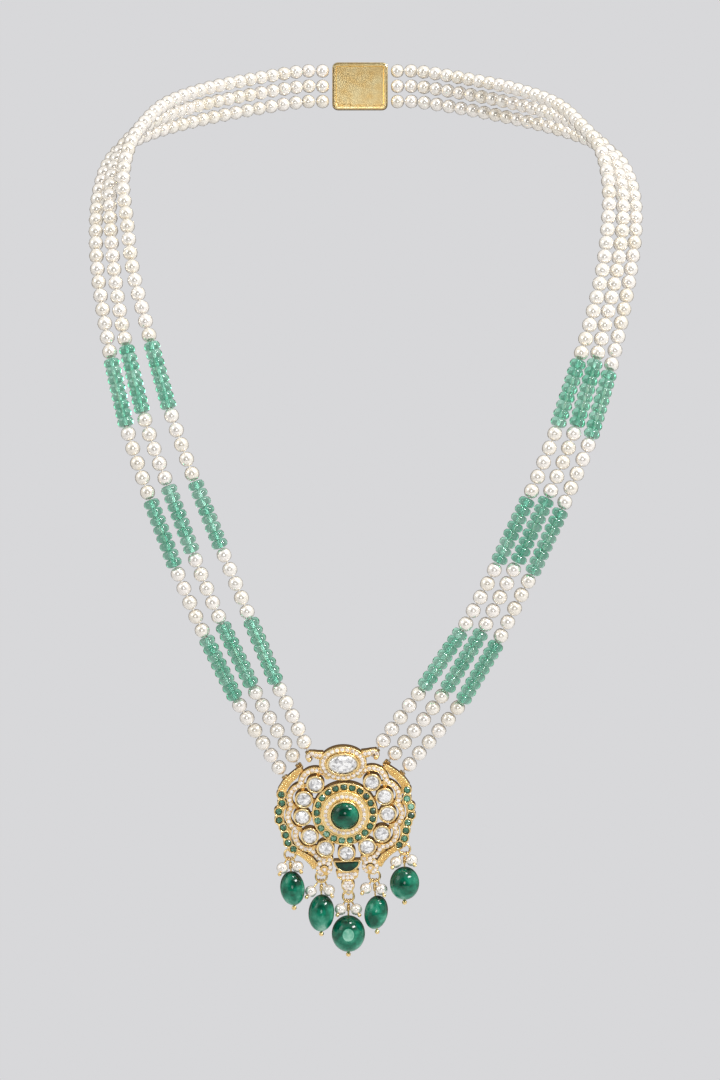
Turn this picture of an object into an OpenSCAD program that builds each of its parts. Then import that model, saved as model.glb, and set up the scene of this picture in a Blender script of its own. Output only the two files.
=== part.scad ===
// Long necklace of three strands a side, with a gold openwork pendant and five drops.
// Left and right are the viewer's. The origin is the nape, where the clasp rests on the neck:
// X runs to the right, Y away from the viewer, Z up, all in millimetres.

/* [Beads] */
// Diameter of a pearl
pearl_d = 3.95; // [3.9:0.05:4]
// Diameter of a green rondelle
rondelle_d = 4.3; // [4.1:0.1:4.3]
// Thickness of a green rondelle
rondelle_t = 2.25; // [2.15:0.05:2.25]
// Free gap between two beads of a strand
bead_gap = 0.1; // [0.1:0.01:0.12]
// Diameter of the thread
thread_d = 0.5; // [0.4:0.05:0.5]
// Diameter of the hole through a bead
bore_d = 1.0; // [0.9:0.05:1]

/* [Clasp] */
// Length of the clasp along the strands
clasp_w = 16; // [14:1:16]
// Height of the clasp
clasp_h = 13.5; // [13.5:0.5:16]
// Thickness of the clasp
clasp_t = 4; // [3.8:0.1:4.5]

/* [Pendant] */
// Lean of the pendant's face, top forward, in degrees
pendant_lean = 15; // [10:1:18]
// Turn of the pendant in its own plane, in degrees
pendant_turn = 2.25; // [0:0.25:4]
// Thickness of the openwork plate
plate_t = 1.3; // [1.2:0.1:1.5]
// Outer radius of the green melee ring
ring_r = 8.75; // [8.6:0.05:8.8]
// Radius of a round polki stone
polki_r = 2.05; // [1.9:0.05:2.1]
// Radius of a green melee stone
melee_r = 0.9; // [0.8:0.05:0.92]

/* [Drops] */
// Radius of a drop's jump ring, to the middle of its wire
jump_r = 1.45; // [1.4:0.05:1.5]
// Diameter of a drop's small pearl
drop_pearl_d = 3.0; // [2.8:0.1:3.1]
// Diameter of the ball under a green drop bead
pin_ball_d = 1.3; // [1.1:0.1:1.4]

/* [Hidden] */
SIDES = ["left", "right"];
PLACES = ["inner", "middle", "outer"];
DROPS = ["far_left", "near_left", "centre", "near_right", "far_right"];
POLKI = ["left_1", "left_2", "left_3", "left_4", "left_5", "bottom",
         "right_5", "right_4", "right_3", "right_2", "right_1"];

gold = "gold";
ivory = "ivory";
mint = "mediumseagreen";
emerald = "darkgreen";
clear = "whitesmoke";

// Where the strands run, from the pendant up over the chest and shoulder to the nape.
// A row is one level: x of the inner, middle and outer strand, then y of the inner strand and
// the step to the next one out, then z of the inner strand and the step to the next one out.
LEVELS_LEFT = [
    [-18.5, -25.0, -31.0,  -92.0, 0.3, -176.0, 0.0],
    [-24.5, -31.5, -37.5,  -96.0, 0.3, -163.0, 0.0],
    [-29.5, -37.5, -43.5,  -99.0, 0.3, -150.0, 0.0],
    [-35.5, -43.5, -49.5, -101.5, 0.5, -135.0, 0.0],
    [-41.5, -49.0, -55.0, -102.5, 0.5, -120.0, 0.0],
    [-47.0, -54.5, -60.0, -102.5, 0.5, -105.0, 0.0],
    [-52.0, -59.0, -64.0,  -99.5, 0.5,  -90.0, 0.0],
    [-56.0, -62.5, -67.0,  -95.5, 0.7,  -75.0, 0.0],
    [-60.0, -65.0, -69.5,  -90.0, 1.0,  -60.0, 0.0],
    [-62.0, -66.5, -70.5,  -84.0, 2.0,  -46.0, -0.3],
    [-63.5, -67.0, -70.2,  -76.5, 3.3,  -34.5, -0.9],
    [-62.5, -65.5, -68.2,  -66.0, 3.8,  -24.5, -1.6],
    [-59.5, -62.0, -64.0,  -55.5, 3.7,  -17.5, -2.2],
    [-54.0, -55.5, -57.0,  -41.0, 2.6,  -10.0, -3.6],
    [-44.0, -45.0, -46.0,  -25.0, 1.2,   -4.0, -4.3],
    [-31.0, -31.5, -32.0,  -11.0, 0.4,    0.5, -4.4],
    [-17.0, -17.0, -17.0,   -0.6, 0.0,    4.0, -4.4]];
LEVELS_RIGHT = [
    [ 12.0,  18.7,  25.2,  -92.0, 0.3, -176.0, 0.0],
    [ 21.7,  27.6,  33.4,  -96.0, 0.3, -163.0, 0.0],
    [ 29.4,  34.6,  40.0,  -99.0, 0.5, -150.0, 0.0],
    [ 37.0,  42.0,  47.3, -101.5, 0.5, -135.0, 0.0],
    [ 44.0,  49.0,  54.0, -102.5, 0.6, -120.0, 0.0],
    [ 50.2,  55.2,  60.1, -102.0, 0.8, -105.0, 0.0],
    [ 55.4,  60.1,  64.7,  -99.7, 1.3,  -90.0, 0.0],
    [ 60.2,  64.3,  68.6,  -95.7, 1.8,  -75.0, 0.0],
    [ 64.0,  67.9,  71.8,  -90.2, 2.2,  -60.0, 0.0],
    [ 66.0,  70.0,  73.7,  -84.0, 2.5,  -46.0, -0.3],
    [ 66.5,  70.2,  73.5,  -76.5, 3.3,  -34.5, -0.9],
    [ 64.8,  68.0,  70.9,  -66.0, 3.8,  -24.5, -1.6],
    [ 60.5,  63.2,  65.5,  -55.5, 3.7,  -17.5, -2.2],
    [ 54.5,  56.2,  57.8,  -41.0, 2.6,  -10.0, -3.6],
    [ 44.0,  45.0,  46.0,  -25.0, 1.2,   -4.0, -4.3],
    [ 31.0,  31.5,  32.0,  -11.0, 0.4,    0.5, -4.4],
    [ 17.0,  17.0,  17.0,   -0.6, 0.0,    4.0, -4.4]];
strand_step = 4.4;
nape_y = clasp_t / 2;
pendant_at = [-4, -84, -203];

// Beads of a strand from the pendant up: pearls, rondelles, pearls and so on. The last entry is
// the pearls that are drilled one by one, above which one solid stands for the rest.
LOWEST_PEARLS = [5, 6, 6];
run_pearls = 5;
run_rondelles = 8;
TOP_PEARLS = 11;
pearl_pitch = pearl_d + bead_gap;
rondelle_pitch = rondelle_t + bead_gap;

// Strand tubes on the pendant: where each one is soldered on, in the pendant's own plane
STRAND_TUBES = [[8.85, 16.3], [11.6, 12.8], [15.3, 9.6]];
tube_w = -0.3;
tube_r = 0.85;
tube_l = 1.5;
tube_bore_r = 0.42;
knot_r = 0.6;
first_bead = tube_l / 2 + 0.75;

// Round polki stones, from the head down the right side: angle and distance from the middle
POLKI_PLACES = [[48.6, 11.35], [22.6, 11.6], [-2.5, 11.35], [-31.9, 11.3], [-59.7, 11.0], [-90, 11.05]];
bezel_wall = 0.37;
bezel_r = polki_r + bezel_wall;
lobe_in = 3.0;
lobe_out = 4.6;
lobe_slit = 0.35;

// Heights over the back of the plate
band_h = 2.0;
column_h = 1.9;
bezel_h = 2.7;
ring_h = 2.6;
halo_h = 3.3;
cup_h = 4.2;
head_h = 2.5;
head_cup_h = 3.2;
halo_r = 6.4;
cup_r = 4.1;
cabochon_r = 3.7;
seat_gap = 0.05;

// Green melee: the ring's stones, and the places of a column's stones on the right side
ring_stones = 21;
ring_stones_r = 7.5;
MELEE_COLUMN = [[16.7, 5.8], [16.6, 3.35], [17.55, 1.05], [17.55, -1.35],
                [16.55, -3.4], [16.0, -5.6], [15.5, -7.8], [14.1, -9.6]];
column_seat_r = 1.27;

// Head of the pendant, an oval stone in a wide oval border, and the crescent below
head_at = [0, 14.0];
head_size = [6.3, 4.65];
head_cup = [4.35, 3.1];
head_stone_size = [3.9, 2.65];
crescent_at = [0, -13.6];
crescent_r = 3.35;
crescent_drop = 2.75;

// Drops, from left to right. Columns: place of the frame's eye in the pendant's plane, width and
// height of the green bead, free length of its pin, swing of the pin and lean of the bead on it in
// degrees, then the places of the two small pearls from the foot of the jump ring, x and z each.
DROP_ROWS = [
    [-15.1, -10.4, 6.5,  9.2, 3.0, 5, -3, -2.0, -2.1, 2.1, -1.7],
    [ -7.0, -17.0, 6.9,  9.9, 3.3, 0,  4, -2.8, -2.4, 2.1, -2.1],
    [  0.0, -22.9, 8.9,  9.8, 3.6, 0,  0, -2.1, -1.9, 2.1, -1.9],
    [  7.2, -17.4, 6.2,  9.1, 3.7, 3, 14, -2.3, -1.7, 1.9, -2.0],
    [ 15.5, -10.1, 7.8,  8.9, 3.2, 0,  2, -2.3, -1.9, 1.9, -1.4]];
drop_pearl_out = -1.3;
eye_w = -0.6;
eye_r = 0.7;
eye_wire = 0.25;
jump_wire = 0.28;
loop_r = 0.62;
loop_wire = 0.18;
loop_step = 0.8;
pin_r = 0.2;
drop_bore_r = 0.35;
wrap_r = 0.38;
wrap_l = 0.9;
pearl_ball_d = 1.05;

// Geometry helpers

// One point of a smooth curve through p1 and p2, at t from 0 to 1
function blend(p0, p1, p2, p3, t) =
    p1 + (p2 - p0) * t / 2
    + (2 * p0 - 5 * p1 + 4 * p2 - p3) * t * t / 2
    + (3 * p1 - p0 - 3 * p2 + p3) * t * t * t / 2;

// Smooth curve through all the points, n steps between each two
function curve(pts, n) =
    let (last = len(pts) - 1, ends = concat([2 * pts[0] - pts[1]], pts, [2 * pts[last] - pts[last - 1]]))
    concat([for (i = [0:last - 1], k = [0:n - 1])
            blend(ends[i], ends[i + 1], ends[i + 2], ends[i + 3], k / n)], [pts[last]]);

// Running length at each point of a line
function lengths(pts, i = 0, so_far = 0) =
    i == len(pts) - 1 ? [so_far]
    : concat([so_far], lengths(pts, i + 1, so_far + norm(pts[i + 1] - pts[i])));

// A line as three tables of length against x, y and z
function tables(pts) =
    let (run = lengths(pts))
    [for (axis = [0:2]) [for (i = [0:len(pts) - 1]) [run[i], pts[i][axis]]]];

function place(line, s) = [lookup(s, line[0]), lookup(s, line[1]), lookup(s, line[2])];

function unit(v) = v / norm(v);

function heading(line, s) = unit(place(line, s + 0.4) - place(line, s - 0.4));

// A point of the pendant's own plane, with its height, in the necklace's frame
function on_pendant(p, q, w) =
    let (u = p * cos(pendant_turn) - q * sin(pendant_turn), v = p * sin(pendant_turn) + q * cos(pendant_turn))
    pendant_at + [u, -v * sin(pendant_lean) - w * cos(pendant_lean),
                  v * cos(pendant_lean) - w * sin(pendant_lean)];

// Route of one strand: its tube on the pendant, the levels, and the side of the clasp
function strand_points(side, k) =
    let (sign = side == 0 ? -1 : 1, rows = side == 0 ? LEVELS_LEFT : LEVELS_RIGHT, tube = STRAND_TUBES[k])
    concat([on_pendant(sign * tube[0], tube[1], tube_w)],
           [for (row = rows) [row[k], row[3] + k * row[4], row[5] + k * row[6]]],
           [[sign * clasp_w / 2, nape_y, (1 - k) * strand_step]]);

STRANDS = [for (side = [0, 1]) [for (k = [0:2]) tables(curve(strand_points(side, k), 6))]];

function strand_length(side, k) = STRANDS[side][k][0][len(STRANDS[side][k][0]) - 1][0];

// Length along the strand at which its run number i starts: 0 the lowest pearls, 1 rondelles,
// 2 pearls, 3 rondelles, 4 pearls, 5 rondelles, 6 the top pearls, 7 their end
function run_start(k, i) =
    i == 0 ? first_bead
    : run_start(k, i - 1)
      + (i % 2 == 0 ? run_rondelles * rondelle_pitch
         : (i == 1 ? LOWEST_PEARLS[k] : i == 7 ? TOP_PEARLS : run_pearls) * pearl_pitch);

// Turns what lies along Z to lie along v
module along(v) {
    rotate([0, acos(v[2]), atan2(v[1], v[0])]) children();
}

module on_strand(side, k, s) {
    translate(place(STRANDS[side][k], s)) along(heading(STRANDS[side][k], s)) children();
}

// Solid skin over rings of points that lie one over the other, with flat ends
module skin(rings, sides) {
    last = len(rings) - 1;
    walls = [for (i = [0:last - 1], j = [0:sides - 1])
        let (n = (j + 1) % sides, c = i * sides)
        each [[c + j, c + sides + n, c + n], [c + j, c + sides + j, c + sides + n]]];
    ends = [[for (j = [0:sides - 1]) j], [for (j = [sides - 1:-1:0]) last * sides + j]];
    polyhedron([for (ring = rings) each ring], concat(walls, ends), convexity = 10);
}

// Round tube along a list of points, with a radius for each
module sweep(pts, radii, sides) {
    last = len(pts) - 1;
    skin([for (i = [0:last])
        let (t = unit(pts[min(i + 1, last)] - pts[max(i - 1, 0)]), a = unit(cross(t, [0, 1, 0])), b = cross(t, a))
        [for (j = [0:sides - 1]) pts[i] + radii[i] * (cos(360 * j / sides) * a + sin(360 * j / sides) * b)]],
        sides);
}

module both_sides() {
    children();
    mirror([1, 0, 0]) children();
}

// Strands

module drilled_pearl(d, bore) {
    difference() {
        sphere(d = d, $fn = 40);
        cylinder(d = bore, h = d + 1, center = true, $fn = 24);
    }
}

module pearls(side, k) {
    color(ivory)
    for (i = [0, 2, 4, 6])
        for (n = [0:(i == 0 ? LOWEST_PEARLS[k] : i == 6 ? TOP_PEARLS : run_pearls) - 1])
            on_strand(side, k, run_start(k, i) + (n + 0.5) * pearl_pitch) drilled_pearl(pearl_d, bore_d);
}

// One run of rondelles, turned as a single ribbed piece round its hole
module rondelle_run() {
    run_l = run_rondelles * rondelle_pitch - bead_gap;
    rim = rondelle_t / 2;
    translate([0, 0, -run_l / 2])
    rotate_extrude($fn = 48)
    difference() {
        union() {
            square([rondelle_d * 0.26, run_l]);
            for (n = [0:run_rondelles - 1]) translate([0, n * rondelle_pitch]) {
                square([rondelle_d / 2 - rim, rondelle_t]);
                translate([rondelle_d / 2 - rim, rim]) circle(r = rim, $fn = 24);
            }
        }
        translate([-rondelle_d, -1]) square([rondelle_d + bore_d * 0.65, run_l + 2]);
    }
}

module rondelles(side, k) {
    color(mint)
    for (i = [1, 3, 5]) {
        low = place(STRANDS[side][k], run_start(k, i));
        high = place(STRANDS[side][k], run_start(k, i + 1));
        translate((low + high) / 2) along(unit(high - low)) rondelle_run();
    }
}

// The thread, with its knot below the tube on the pendant
module thread(side, k) {
    line = STRANDS[side][k];
    end = run_start(k, 7) - 0.15;
    steps = 31;
    knot = place(line, 0) - heading(line, 0.5) * (tube_l / 2 + knot_r);
    knot_places = [for (d = [-1:0.5:1]) knot + heading(line, 0.5) * d * knot_r];
    color("white")
    sweep(concat(knot_places, [for (i = [0:steps]) place(line, end * i / steps)]),
        concat(knot_r * [0.4, 0.85, 1, 0.85, 0.5], [for (i = [0:steps]) thread_d / 2]), 6);
}

// The rest of the strand, behind the neck, as far as the clasp
module nape_strand(side, k) {
    line = STRANDS[side][k];
    start = run_start(k, 7) + 0.05;
    end = strand_length(side, k) - 0.7;
    steps = 14;
    sweep([for (i = [0:steps]) place(line, start + (end - start) * i / steps)],
        [for (i = [0:steps]) pearl_d / 2], 8);
}

module nape_strands(side) {
    color(ivory) for (k = [0:2]) nape_strand(side, k);
}

module clasp() {
    round_r = 1.6;
    color(gold)
    translate([0, clasp_t, 0]) rotate([90, 0, 0])
    linear_extrude(clasp_t)
    union() {
        square([clasp_w, clasp_h - 2 * round_r], center = true);
        square([clasp_w - 2 * round_r, clasp_h], center = true);
        for (x = [-1, 1], y = [-1, 1])
            translate([x * (clasp_w / 2 - round_r), y * (clasp_h / 2 - round_r)]) circle(r = round_r, $fn = 32);
    }
}

// Pendant, drawn in its own plane: x across, y up, z out to the viewer

module place_pendant() {
    translate(pendant_at) rotate([90 + pendant_lean, 0, 0]) rotate([0, 0, pendant_turn]) children();
}

function polki_at(n) = POLKI_PLACES[n][1] * [cos(POLKI_PLACES[n][0]), sin(POLKI_PLACES[n][0])];

module oval(size) {
    scale([1, size[1] / size[0]]) circle(r = size[0], $fn = 64);
}

module disc(r, h) {
    cylinder(r = r, h = h, $fn = 48);
}

// Scalloped band that runs round the polki stones of the right side
module scallops() {
    linear_extrude(band_h)
    difference() {
        union() {
            for (n = [0:3]) translate(polki_at(n)) circle(r = lobe_out, $fn = 48);
            translate(polki_at(4)) circle(r = lobe_in + 1.0, $fn = 48);
        }
        for (n = [0:4]) translate(polki_at(n)) circle(r = n == 4 ? lobe_in - 0.2 : lobe_in, $fn = 48);
        circle(r = 12.1, $fn = 64);
        translate([-8, -16]) square([13.2, 10]);
        polygon([[-4, 6], [3.2, 6], [7.5, 8.5], [4.0, 10.5], [4.6, 16], [-4, 16]]);
    }
    translate([4.2, 10.4, 0]) disc(0.8, band_h);
}

// Narrow struts from the melee ring out through each bezel to the band
module struts() {
    for (n = [0:4]) {
        a = POLKI_PLACES[n][0];
        rotate([0, 0, a]) translate([ring_r - 0.6, -0.6, 0]) cube([1.4, 1.2, plate_t]);
        for (turn = [-62, 62])
            translate(polki_at(n)) rotate([0, 0, a + turn]) translate([bezel_r - 0.3, -0.45, 0])
                cube([n == 4 ? 0.9 : 1.1, 0.9, plate_t]);
    }
    translate([-0.6, -ring_r - 1, 0]) cube([1.2, 1.6, plate_t]);
}

// Gold bands outside the scallops: from the head down to the melee column, under the column, and
// from its foot to the lower scroll
TOP_BAND = [[11.0, 13.2], [12.1, 12.8], [14.1, 11.3], [16.1, 9.5], [17.5, 7.3], [17.6, 5.9],
            [15.4, 5.6], [14.9, 7.2], [13.6, 9.0], [12.0, 10.4], [10.9, 11.8]];
COLUMN_BAND = [[17.4, 6.2], [17.6, 3.3], [18.4, 1.2], [18.4, -1.4], [17.5, -3.5], [17.0, -5.6],
               [16.4, -7.9], [15.0, -10.3], [13.0, -9.4], [13.2, -7.0], [14.0, -4.0], [15.0, -2.8],
               [15.6, -0.5], [15.0, 2.2], [14.8, 4.5], [15.3, 6.4]];
FOOT_BAND = [[15.1, -9.6], [13.9, -11.0], [12.4, -11.9], [11.3, -12.8], [10.1, -14.1], [9.2, -15.6],
             [7.6, -15.2], [8.0, -13.6], [9.2, -12.0], [10.8, -11.0], [12.6, -9.4]];

module side_bands() {
    linear_extrude(column_h - 0.2)
    difference() {
        union() {
            polygon(TOP_BAND);
            polygon(COLUMN_BAND);
            polygon(FOOT_BAND);
        }
        for (n = [0:3]) translate(polki_at(n)) circle(r = lobe_out + lobe_slit, $fn = 48);
    }
}

// Solder points that join the outer bands and columns to the scallops
module solder_points() {
    for (p = [[11.3, 12.0], [15.4, 5.4], [15.9, 2.2], [15.0, -3.3], [9.6, -11.4], [12.5, -10.2]])
        translate([p[0], p[1], 0]) disc(0.75, plate_t);
}

module melee_column() {
    for (p = MELEE_COLUMN) translate([p[0], p[1], 0]) disc(column_seat_r, column_h);
}

module horn() {
    linear_extrude(band_h) polygon([[5.0, 15.0], [5.0, 17.2], [6.4, 17.3], [7.7, 17.5], [7.8, 16.4], [6.9, 15.4]]);
    translate([8.2, 15.95, 0]) rotate([0, 0, -50]) {
        rotate_extrude(angle = 160, $fn = 48) translate([0.45, 0]) square([1.1, band_h]);
        translate([1.0, 0, 0]) disc(0.6, band_h);
    }
}

// Scroll beside the crescent, with its arched slit, and the curl over it
module scroll() {
    difference() {
        union() {
            translate([6.2, -15.1, 0]) disc(2.25, band_h);
            translate([6.9, -16.5, 0]) disc(1.05, band_h);
            translate([4.6, -12.9, 0]) disc(1.0, band_h);
            translate([5.0, -13.9, 0]) disc(0.9, band_h);
        }
        translate([6.1, -15.6, -1]) rotate_extrude(angle = 140, start = 20, $fn = 48)
            translate([1.05, 0]) square([0.35, band_h + 2]);
    }
}

module crescent_outline(r, drop) {
    intersection() {
        translate([0, r - drop]) circle(r = r, $fn = 64);
        translate([-r, -drop - 1]) square([2 * r, drop + 1]);
    }
}

// Seat of the half-moon stone, the fan under it and the boss at the foot
module foot() {
    translate([crescent_at[0], crescent_at[1], 0]) {
        linear_extrude(band_h + 0.3) crescent_outline(crescent_r + 0.35, crescent_drop + 0.35);
        translate([0, 0.1, 0]) linear_extrude(band_h + 0.3)
            square([2 * crescent_r + 0.4, 0.6], center = true);
    }
    linear_extrude(band_h - 0.2)
        polygon([[-3.1, -16.4], [-2.2, -16.0], [2.2, -16.0], [3.1, -16.4], [2.7, -18.2], [1.4, -19.1],
                 [-1.4, -19.1], [-2.7, -18.2]]);
    translate([0, -20.4, 0]) disc(1.8, band_h);
    linear_extrude(band_h - 0.2)
        polygon([[-1.5, -21.0], [1.5, -21.0], [1.2, -22.4], [0, -23.3], [-1.2, -22.4]]);
}

// Round eye behind the plate that a jump ring hangs in
module drop_eye(row) {
    translate(eye_place(row)) rotate([0, 90, 0])
        rotate_extrude($fn = 32) translate([eye_r, 0]) circle(r = eye_wire, $fn = 16);
}

// Small tongue at the edge of the plate over an eye
module eye_tongue(row) {
    translate([row[0] - sign(row[0]) * 0.1, row[1] + 0.6, 0]) disc(0.7, plate_t);
}

module strand_tube(side, k) {
    line = STRANDS[side][k];
    translate(place(line, 0)) along(heading(line, 0.5)) cylinder(r = tube_r, h = tube_l, center = true, $fn = 32);
}

module strand_tube_bore(side, k) {
    line = STRANDS[side][k];
    translate(place(line, 0)) along(heading(line, 0.5))
        translate([0, 0, -tube_l / 2 - 2]) cylinder(r = tube_bore_r, h = tube_l + 3.2, $fn = 24);
}

// Room behind the plate for the knot at the end of a thread
module knot_room(side, k) {
    line = STRANDS[side][k];
    translate(place(line, 0) - heading(line, 0.5) * (tube_l / 2 + knot_r * 0.9)) sphere(r = knot_r + 0.1, $fn = 24);
}

module gold_openwork() {
    difference() {
        union() {
            disc(ring_r, ring_h);
            disc(halo_r, halo_h);
            disc(cup_r, cup_h);
            both_sides() {
                scallops();
                struts();
                side_bands();
                solder_points();
                melee_column();
                horn();
                scroll();
                for (n = [0:4]) translate(concat(polki_at(n), [0])) disc(bezel_r, bezel_h);
            }
            translate(concat(polki_at(5), [0])) disc(bezel_r, bezel_h);
            translate([head_at[0], head_at[1], 0]) {
                linear_extrude(head_h) oval(head_size);
                linear_extrude(head_cup_h) oval(head_cup);
            }
            foot();
            for (row = DROP_ROWS) eye_tongue(row);
        }
        translate([0, 0, cup_h - 1.2]) disc(cabochon_r + seat_gap, 2);
        translate([0, 0, -1]) disc(2.6, 2);
        both_sides()
            for (n = [0:4]) translate(concat(polki_at(n), [bezel_h - 1.0])) disc(polki_r + seat_gap, 2);
        translate(concat(polki_at(5), [bezel_h - 1.0])) disc(polki_r + seat_gap, 2);
        translate([head_at[0], head_at[1], head_cup_h - 1.1])
            linear_extrude(2) oval(head_stone_size + [seat_gap, seat_gap]);
        translate([crescent_at[0], crescent_at[1], band_h - 0.6])
            linear_extrude(2) crescent_outline(crescent_r - 0.2 + seat_gap, crescent_drop - 0.1 + seat_gap);
        for (n = [0:ring_stones - 1]) rotate([0, 0, 90 + 360 * n / ring_stones])
            translate([ring_stones_r, 0, ring_h - 0.6]) disc(melee_r + seat_gap, 1);
        both_sides() for (p = MELEE_COLUMN)
            translate([p[0], p[1], column_h - 0.6]) disc(melee_r + seat_gap, 1);
    }
}

module pendant_frame() {
    color(gold)
    difference() {
        union() {
            place_pendant() gold_openwork();
            for (row = DROP_ROWS) drop_eye(row);
            for (side = [0, 1], k = [0:2]) strand_tube(side, k);
        }
        for (side = [0, 1], k = [0:2]) {
            strand_tube_bore(side, k);
            knot_room(side, k);
        }
    }
}

// Stones

// Faceted stone: levels are heights with their share of the full width, the last one the table
module cut_stone(size, levels, sides) {
    skin([for (level = levels)
        [for (j = [0:sides - 1])
            [size[0] * level[1] * cos(360 * j / sides), size[1] * level[1] * sin(360 * j / sides), level[0]]]],
        sides);
}

module cabochon() {
    rise = 2.3;
    dome_r = (cabochon_r * cabochon_r + rise * rise) / (2 * rise);
    color(emerald)
    place_pendant() translate([0, 0, cup_h - 1.2 + seat_gap]) {
        cylinder(r = cabochon_r, h = 0.9, $fn = 64);
        translate([0, 0, 0.9]) intersection() {
            translate([0, 0, rise - dome_r]) sphere(r = dome_r, $fn = 64);
            cylinder(r = cabochon_r, h = rise + 1, $fn = 64);
        }
    }
}

module head_stone() {
    color(clear)
    place_pendant() translate([head_at[0], head_at[1], head_cup_h - 1.1 + seat_gap])
        cut_stone(head_stone_size, [[0, 1], [0.9, 1], [1.35, 0.82], [1.6, 0.55]], 16);
}

module crescent_stone() {
    color(emerald)
    place_pendant() translate([crescent_at[0], crescent_at[1] - seat_gap, band_h - 0.6 + seat_gap])
        linear_extrude(1.0) crescent_outline(crescent_r - 0.2, crescent_drop - 0.1 - seat_gap);
}

module polki(n, side) {
    color(clear)
    place_pendant() mirror([side < 0 ? 1 : 0, 0, 0])
        translate(concat(polki_at(n), [bezel_h - 1.0 + seat_gap])) rotate([0, 0, 17 * n])
            cut_stone([polki_r, polki_r], [[0, 1], [0.8, 1], [1.2, 0.78], [1.4, 0.45]], 10);
}

module melee_ring() {
    color(mint)
    place_pendant() for (n = [0:ring_stones - 1]) rotate([0, 0, 90 + 360 * n / ring_stones])
        translate([ring_stones_r, 0, ring_h - 0.6 + seat_gap]) cut_stone([melee_r, melee_r], [[0, 1], [0.4, 1], [0.7, 0.6]], 8);
}

module melee_columns() {
    color(mint)
    place_pendant() both_sides() for (p = MELEE_COLUMN)
        translate([p[0], p[1], column_h - 0.6 + seat_gap]) cut_stone([melee_r, melee_r], [[0, 1], [0.4, 1], [0.7, 0.6]], 8);
}

// Drops. Each hangs from its eye in the frame: a jump ring, then three pins looped over its foot.

function eye_place(row) = on_pendant(row[0], row[1], eye_w);

function ring_foot(row) = eye_place(row) - [0, 0, 2 * jump_r];

// Turns a drop's pin and bead about the foot of its jump ring
module swing(row) {
    translate(ring_foot(row)) rotate([0, -row[5], 0]) children();
}

// Place of a small pearl from the foot of the jump ring, side -1 or 1
function pearl_place(row, side) =
    side < 0 ? [row[7], drop_pearl_out, row[8]] : [row[9], drop_pearl_out, row[10]];

module jump_ring(row) {
    color(gold)
    translate(eye_place(row) - [0, 0, jump_r]) rotate([90, 0, 0])
        rotate_extrude($fn = 48) translate([jump_r, 0]) circle(r = jump_wire, $fn = 16);
}

// Tumbled bead: an egg-round turned shape, drilled along its pin
module green_drop(row) {
    w = row[2] / 2;
    h = row[3] / 2;
    outline = [for (a = [-90:10:90]) [w * pow(cos(a), 0.9), h * sin(a)]];
    color(emerald)
    swing(row) translate([0, 0, -row[4] - h])
    difference() {
        rotate([0, row[6], 0]) rotate_extrude($fn = 48) polygon(outline);
        cylinder(r = drop_bore_r, h = 2 * row[3], center = true, $fn = 24);
    }
}

// Loop of a pin over the foot of the jump ring, x away from the ring's lowest point
module pin_loop(x) {
    translate([x, 0, jump_r - sqrt(jump_r * jump_r - x * x)]) rotate([0, asin(-x / jump_r), 0])
        rotate([0, 90, 0]) rotate_extrude($fn = 32) translate([loop_r, 0]) circle(r = loop_wire, $fn = 16);
}

// Foot of a pin's loop, where its wire starts
function loop_foot(x) =
    let (a = asin(x / jump_r)) [x + loop_r * sin(a), 0, jump_r * (1 - cos(a)) - loop_r * cos(a)];

module wire(from, to, r) {
    translate(from) along(unit(to - from)) cylinder(r = r, h = norm(to - from), $fn = 16);
}

module head_pins(row) {
    bottom = -row[4] - row[3] - pin_ball_d / 2;
    color(gold) {
        swing(row) {
            pin_loop(0);
            wire(loop_foot(0), [0, 0, bottom], pin_r);
            translate([0, 0, -loop_r - 0.1 - wrap_l]) cylinder(r = wrap_r, h = wrap_l, $fn = 24);
            translate([0, 0, bottom]) sphere(d = pin_ball_d, $fn = 32);
        }
        for (side = [-1, 1]) {
            start = loop_foot(side * loop_step);
            way = unit(pearl_place(row, side) - start);
            tail = pearl_place(row, side) + way * (drop_pearl_d / 2 + pearl_ball_d / 2);
            translate(ring_foot(row)) {
                pin_loop(side * loop_step);
                wire(start, tail, pin_r);
                translate(tail) sphere(d = pearl_ball_d, $fn = 32);
            }
        }
    }
}

module drop_pearls(row) {
    color(ivory)
    for (side = [-1, 1])
        translate(ring_foot(row) + pearl_place(row, side))
            along(unit(pearl_place(row, side) - loop_foot(side * loop_step)))
                drilled_pearl(drop_pearl_d, 2 * drop_bore_r);
}

for (side = [0, 1], k = [0:2]) {
    pearls(side, k);
    rondelles(side, k);
    thread(side, k);
}
nape_strands(0);  // nape_strands_left
nape_strands(1);  // nape_strands_right
clasp();
pendant_frame();
cabochon();
head_stone();
crescent_stone();
melee_ring();
melee_columns();
for (n = [0:10])
    polki(n < 6 ? n : 10 - n, n < 5 ? -1 : 1);
for (i = [0:4]) {
    jump_ring(DROP_ROWS[i]);
    green_drop(DROP_ROWS[i]);
    head_pins(DROP_ROWS[i]);
    drop_pearls(DROP_ROWS[i]);
}
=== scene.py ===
import math
import random
import bpy
from mathutils import Matrix, Vector


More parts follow.
